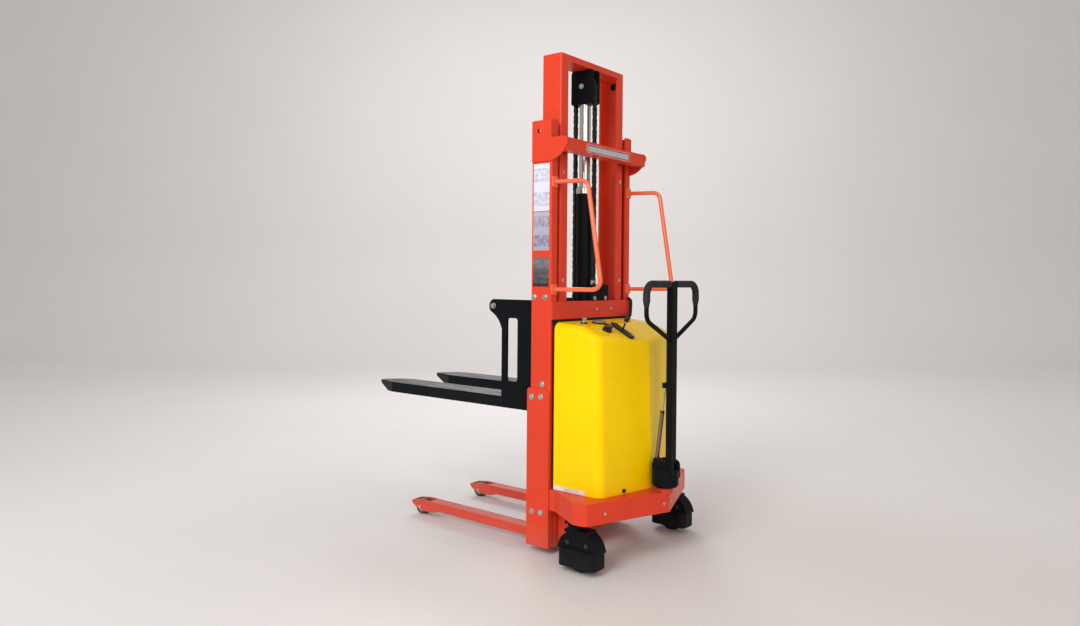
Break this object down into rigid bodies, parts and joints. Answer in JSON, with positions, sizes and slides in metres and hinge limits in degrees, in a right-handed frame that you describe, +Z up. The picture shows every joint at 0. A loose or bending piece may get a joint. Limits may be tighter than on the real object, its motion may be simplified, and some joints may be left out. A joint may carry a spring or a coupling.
{
  "type": "walkie stacker",
  "caption": "Pedestrian pallet stacker with a two-stage roller mast, chain-lifted fork carriage, floor legs, hood and tiller.",
  "frame": {"origin": "on the floor, on the centreline, at the rear face of the outer mast channels", "axes": "+X along the forks, away from the operator; +Y to the truck's left; +Z up"},
  "size_m": [1.634, 0.832, 2.146],
  "materials": {
    "red_paint": "satin powder coat",
    "yellow_paint": "gloss powder coat",
    "black_paint": "satin powder coat",
    "bright_steel": "zinc plated or ground",
    "chrome_rod": "hard chrome",
    "chain_steel": "oiled",
    "cast": "machined",
    "tyre": "moulded",
    "grip": "ribbed",
    "black_plastic": "moulded",
    "red_plastic": "moulded",
    "plate": "blank, brushed"
  },
  "bodies": {
    "chassis": {"outer_rail_left": "red_paint", "outer_rail_right": "red_paint", "top_cheeks": "red_paint", "side_plates": "red_paint", "top_guides": "black_plastic", "top_crossbar": "red_paint", "badge_plate": "plate", "mid_beam": "red_paint", "mast_foot": "red_paint", "leg_left": "red_paint", "leg_right": "red_paint", "load_axles": "bright_steel", "deck": "red_paint", "caster_plates": "black_paint", "grab_rails": "red_paint", "mast_bolts": "bright_steel", "cylinder_barrel": "black_paint", "cylinder_gland": "bright_steel", "chain_anchor": "black_paint", "chain_rear_run": "chain_steel", "hood": "yellow_paint", "battery": "black_plastic", "oil_tank": "black_plastic", "valve_block": "bright_steel", "pump_motor": "black_plastic", "lever_console": "black_plastic", "panel_fittings": "black_plastic"},
    "inner_mast": {"inner_rail_left": "red_paint", "inner_rail_right": "red_paint", "inner_ties": "red_paint", "bottom_roller_studs": "bright_steel", "piston_rod": "chrome_rod", "ram_head": "black_paint", "pulley_pin": "bright_steel", "chain_wrap": "chain_steel"},
    "chain_pulley": {"chain_pulley": "cast"},
    "bottom_rollers": {"bottom_rollers": "cast"},
    "carriage": {"carriage_frame": "black_paint", "upright_left": "black_paint", "upright_right": "black_paint", "fork_left": "black_paint", "fork_right": "black_paint", "tie_shaft": "bright_steel", "chain_front_run": "chain_steel"},
    "carriage_rollers_upper": {"carriage_rollers_upper": "cast"},
    "carriage_rollers_lower": {"carriage_rollers_lower": "cast"},
    "load_wheel_left": {"load_wheel_left": "tyre"},
    "load_wheel_right": {"load_wheel_right": "tyre"},
    "caster_fork_left": {"caster_fork_left": "black_paint"},
    "caster_fork_right": {"caster_fork_right": "black_paint"},
    "caster_wheel_left": {"caster_wheel_left": "tyre"},
    "caster_wheel_right": {"caster_wheel_right": "tyre"},
    "turret": {"tiller_turret": "black_paint"},
    "tiller": {"tiller_bar": "black_paint", "grips": "grip"},
    "strut_barrel": {"strut_barrel": "black_paint"},
    "strut_rod": {"strut_rod": "bright_steel"},
    "lift_lever": {"lift_lever": "black_paint"},
    "key": {"key": "bright_steel"},
    "stop_button": {"stop_button": "red_plastic"}
  },
  "joints": [
    {"name": "mast_lift", "type": "slide", "parent": "chassis", "child": "inner_mast", "axis": [0, 0, 1], "range_m": [-0.28, 0.9275], "deforming": ["chain_rear_run"]},
    {"name": "carriage_lift", "type": "slide", "parent": "inner_mast", "child": "carriage", "axis": [0, 0, 1], "range_m": [-0.28, 0.9275], "deforming": ["chain_front_run"]},
    {"name": "pulley_turn", "type": "hinge", "parent": "inner_mast", "child": "chain_pulley", "pos_m": [0.0495, 0, 2.046], "axis": [0, 1, 0], "range_deg": [-1014, 307]},
    {"name": "bottom_roller_turn", "type": "hinge", "parent": "inner_mast", "child": "bottom_rollers", "pos_m": [0.054, 0, 0.42], "axis": [0, 1, 0], "range_deg": [-1223, 370]},
    {"name": "carriage_upper_turn", "type": "hinge", "parent": "carriage", "child": "carriage_rollers_upper", "pos_m": [0.054, 0, 0.946], "axis": [0, 1, 0], "range_deg": [-388, 1282]},
    {"name": "carriage_lower_turn", "type": "hinge", "parent": "carriage", "child": "carriage_rollers_lower", "pos_m": [0.054, 0, 0.75], "axis": [0, 1, 0], "range_deg": [-1282, 388]},
    {"name": "load_wheel_left_turn", "type": "hinge", "parent": "chassis", "child": "load_wheel_left", "pos_m": [0.866, 0.21, 0.037], "axis": [0, 1, 0], "continuous": true},
    {"name": "load_wheel_right_turn", "type": "hinge", "parent": "chassis", "child": "load_wheel_right", "pos_m": [0.866, -0.21, 0.037], "axis": [0, 1, 0], "continuous": true},
    {"name": "caster_left_swivel", "type": "hinge", "parent": "chassis", "child": "caster_fork_left", "pos_m": [-0.185, 0.365, 0.19], "axis": [0, 0, 1], "continuous": true},
    {"name": "caster_right_swivel", "type": "hinge", "parent": "chassis", "child": "caster_fork_right", "pos_m": [-0.185, -0.365, 0.19], "axis": [0, 0, 1], "continuous": true},
    {"name": "caster_left_roll", "type": "hinge", "parent": "caster_fork_left", "child": "caster_wheel_left", "pos_m": [-0.212, 0.365, 0.075], "axis": [0, 1, 0], "continuous": true},
    {"name": "caster_right_roll", "type": "hinge", "parent": "caster_fork_right", "child": "caster_wheel_right", "pos_m": [-0.212, -0.365, 0.075], "axis": [0, 1, 0], "continuous": true},
    {"name": "tiller_swivel", "type": "hinge", "parent": "chassis", "child": "turret", "pos_m": [-0.383, 0, 0.3], "axis": [0, 0, 1], "range_deg": [-55, 55]},
    {"name": "tiller_tilt", "type": "hinge", "parent": "turret", "child": "tiller", "pos_m": [-0.408, 0, 0.395], "axis": [0, -1, 0], "range_deg": [0, 65]},
    {"name": "strut_turn", "type": "hinge", "parent": "turret", "child": "strut_barrel", "pos_m": [-0.341, 0, 0.408], "axis": [0, -1, 0], "range_deg": [-1, 65]},
    {"name": "strut_slide", "type": "slide", "parent": "strut_barrel", "child": "strut_rod", "axis": [-0.121, 0, 0.9927], "range_m": [-0.001, 0.068]},
    {"name": "lift_lever_turn", "type": "hinge", "parent": "chassis", "child": "lift_lever", "pos_m": [-0.20789, 0.072, 0.95582], "axis": [0.181, 0.9801, 0.082], "range_deg": [-22, 22]},
    {"name": "key_turn", "type": "hinge", "parent": "chassis", "child": "key", "pos_m": [-0.08665, 0.186, 0.99022], "axis": [-0.0933, 0, 0.9956], "range_deg": [0, 90]},
    {"name": "stop_press", "type": "slide", "parent": "chassis", "child": "stop_button", "axis": [0.4128, 0, -0.9108], "range_m": [0, 0.005]}
  ],
  "couplings": [
    {"joint": "carriage_lift", "follows": "mast_lift", "ratio": 1},
    {"joint": "pulley_turn", "follows": "mast_lift", "rad_per_m": -19.048},
    {"joint": "bottom_roller_turn", "follows": "mast_lift", "rad_per_m": -22.989},
    {"joint": "carriage_upper_turn", "follows": "mast_lift", "rad_per_m": 24.096},
    {"joint": "carriage_lower_turn", "follows": "mast_lift", "rad_per_m": -24.096},
    {"joint": "strut_turn", "follows": "tiller_tilt", "ratio": 0.92056},
    {"joint": "strut_slide", "follows": "tiller_tilt", "m_per_rad": 0.05822}
  ]
}
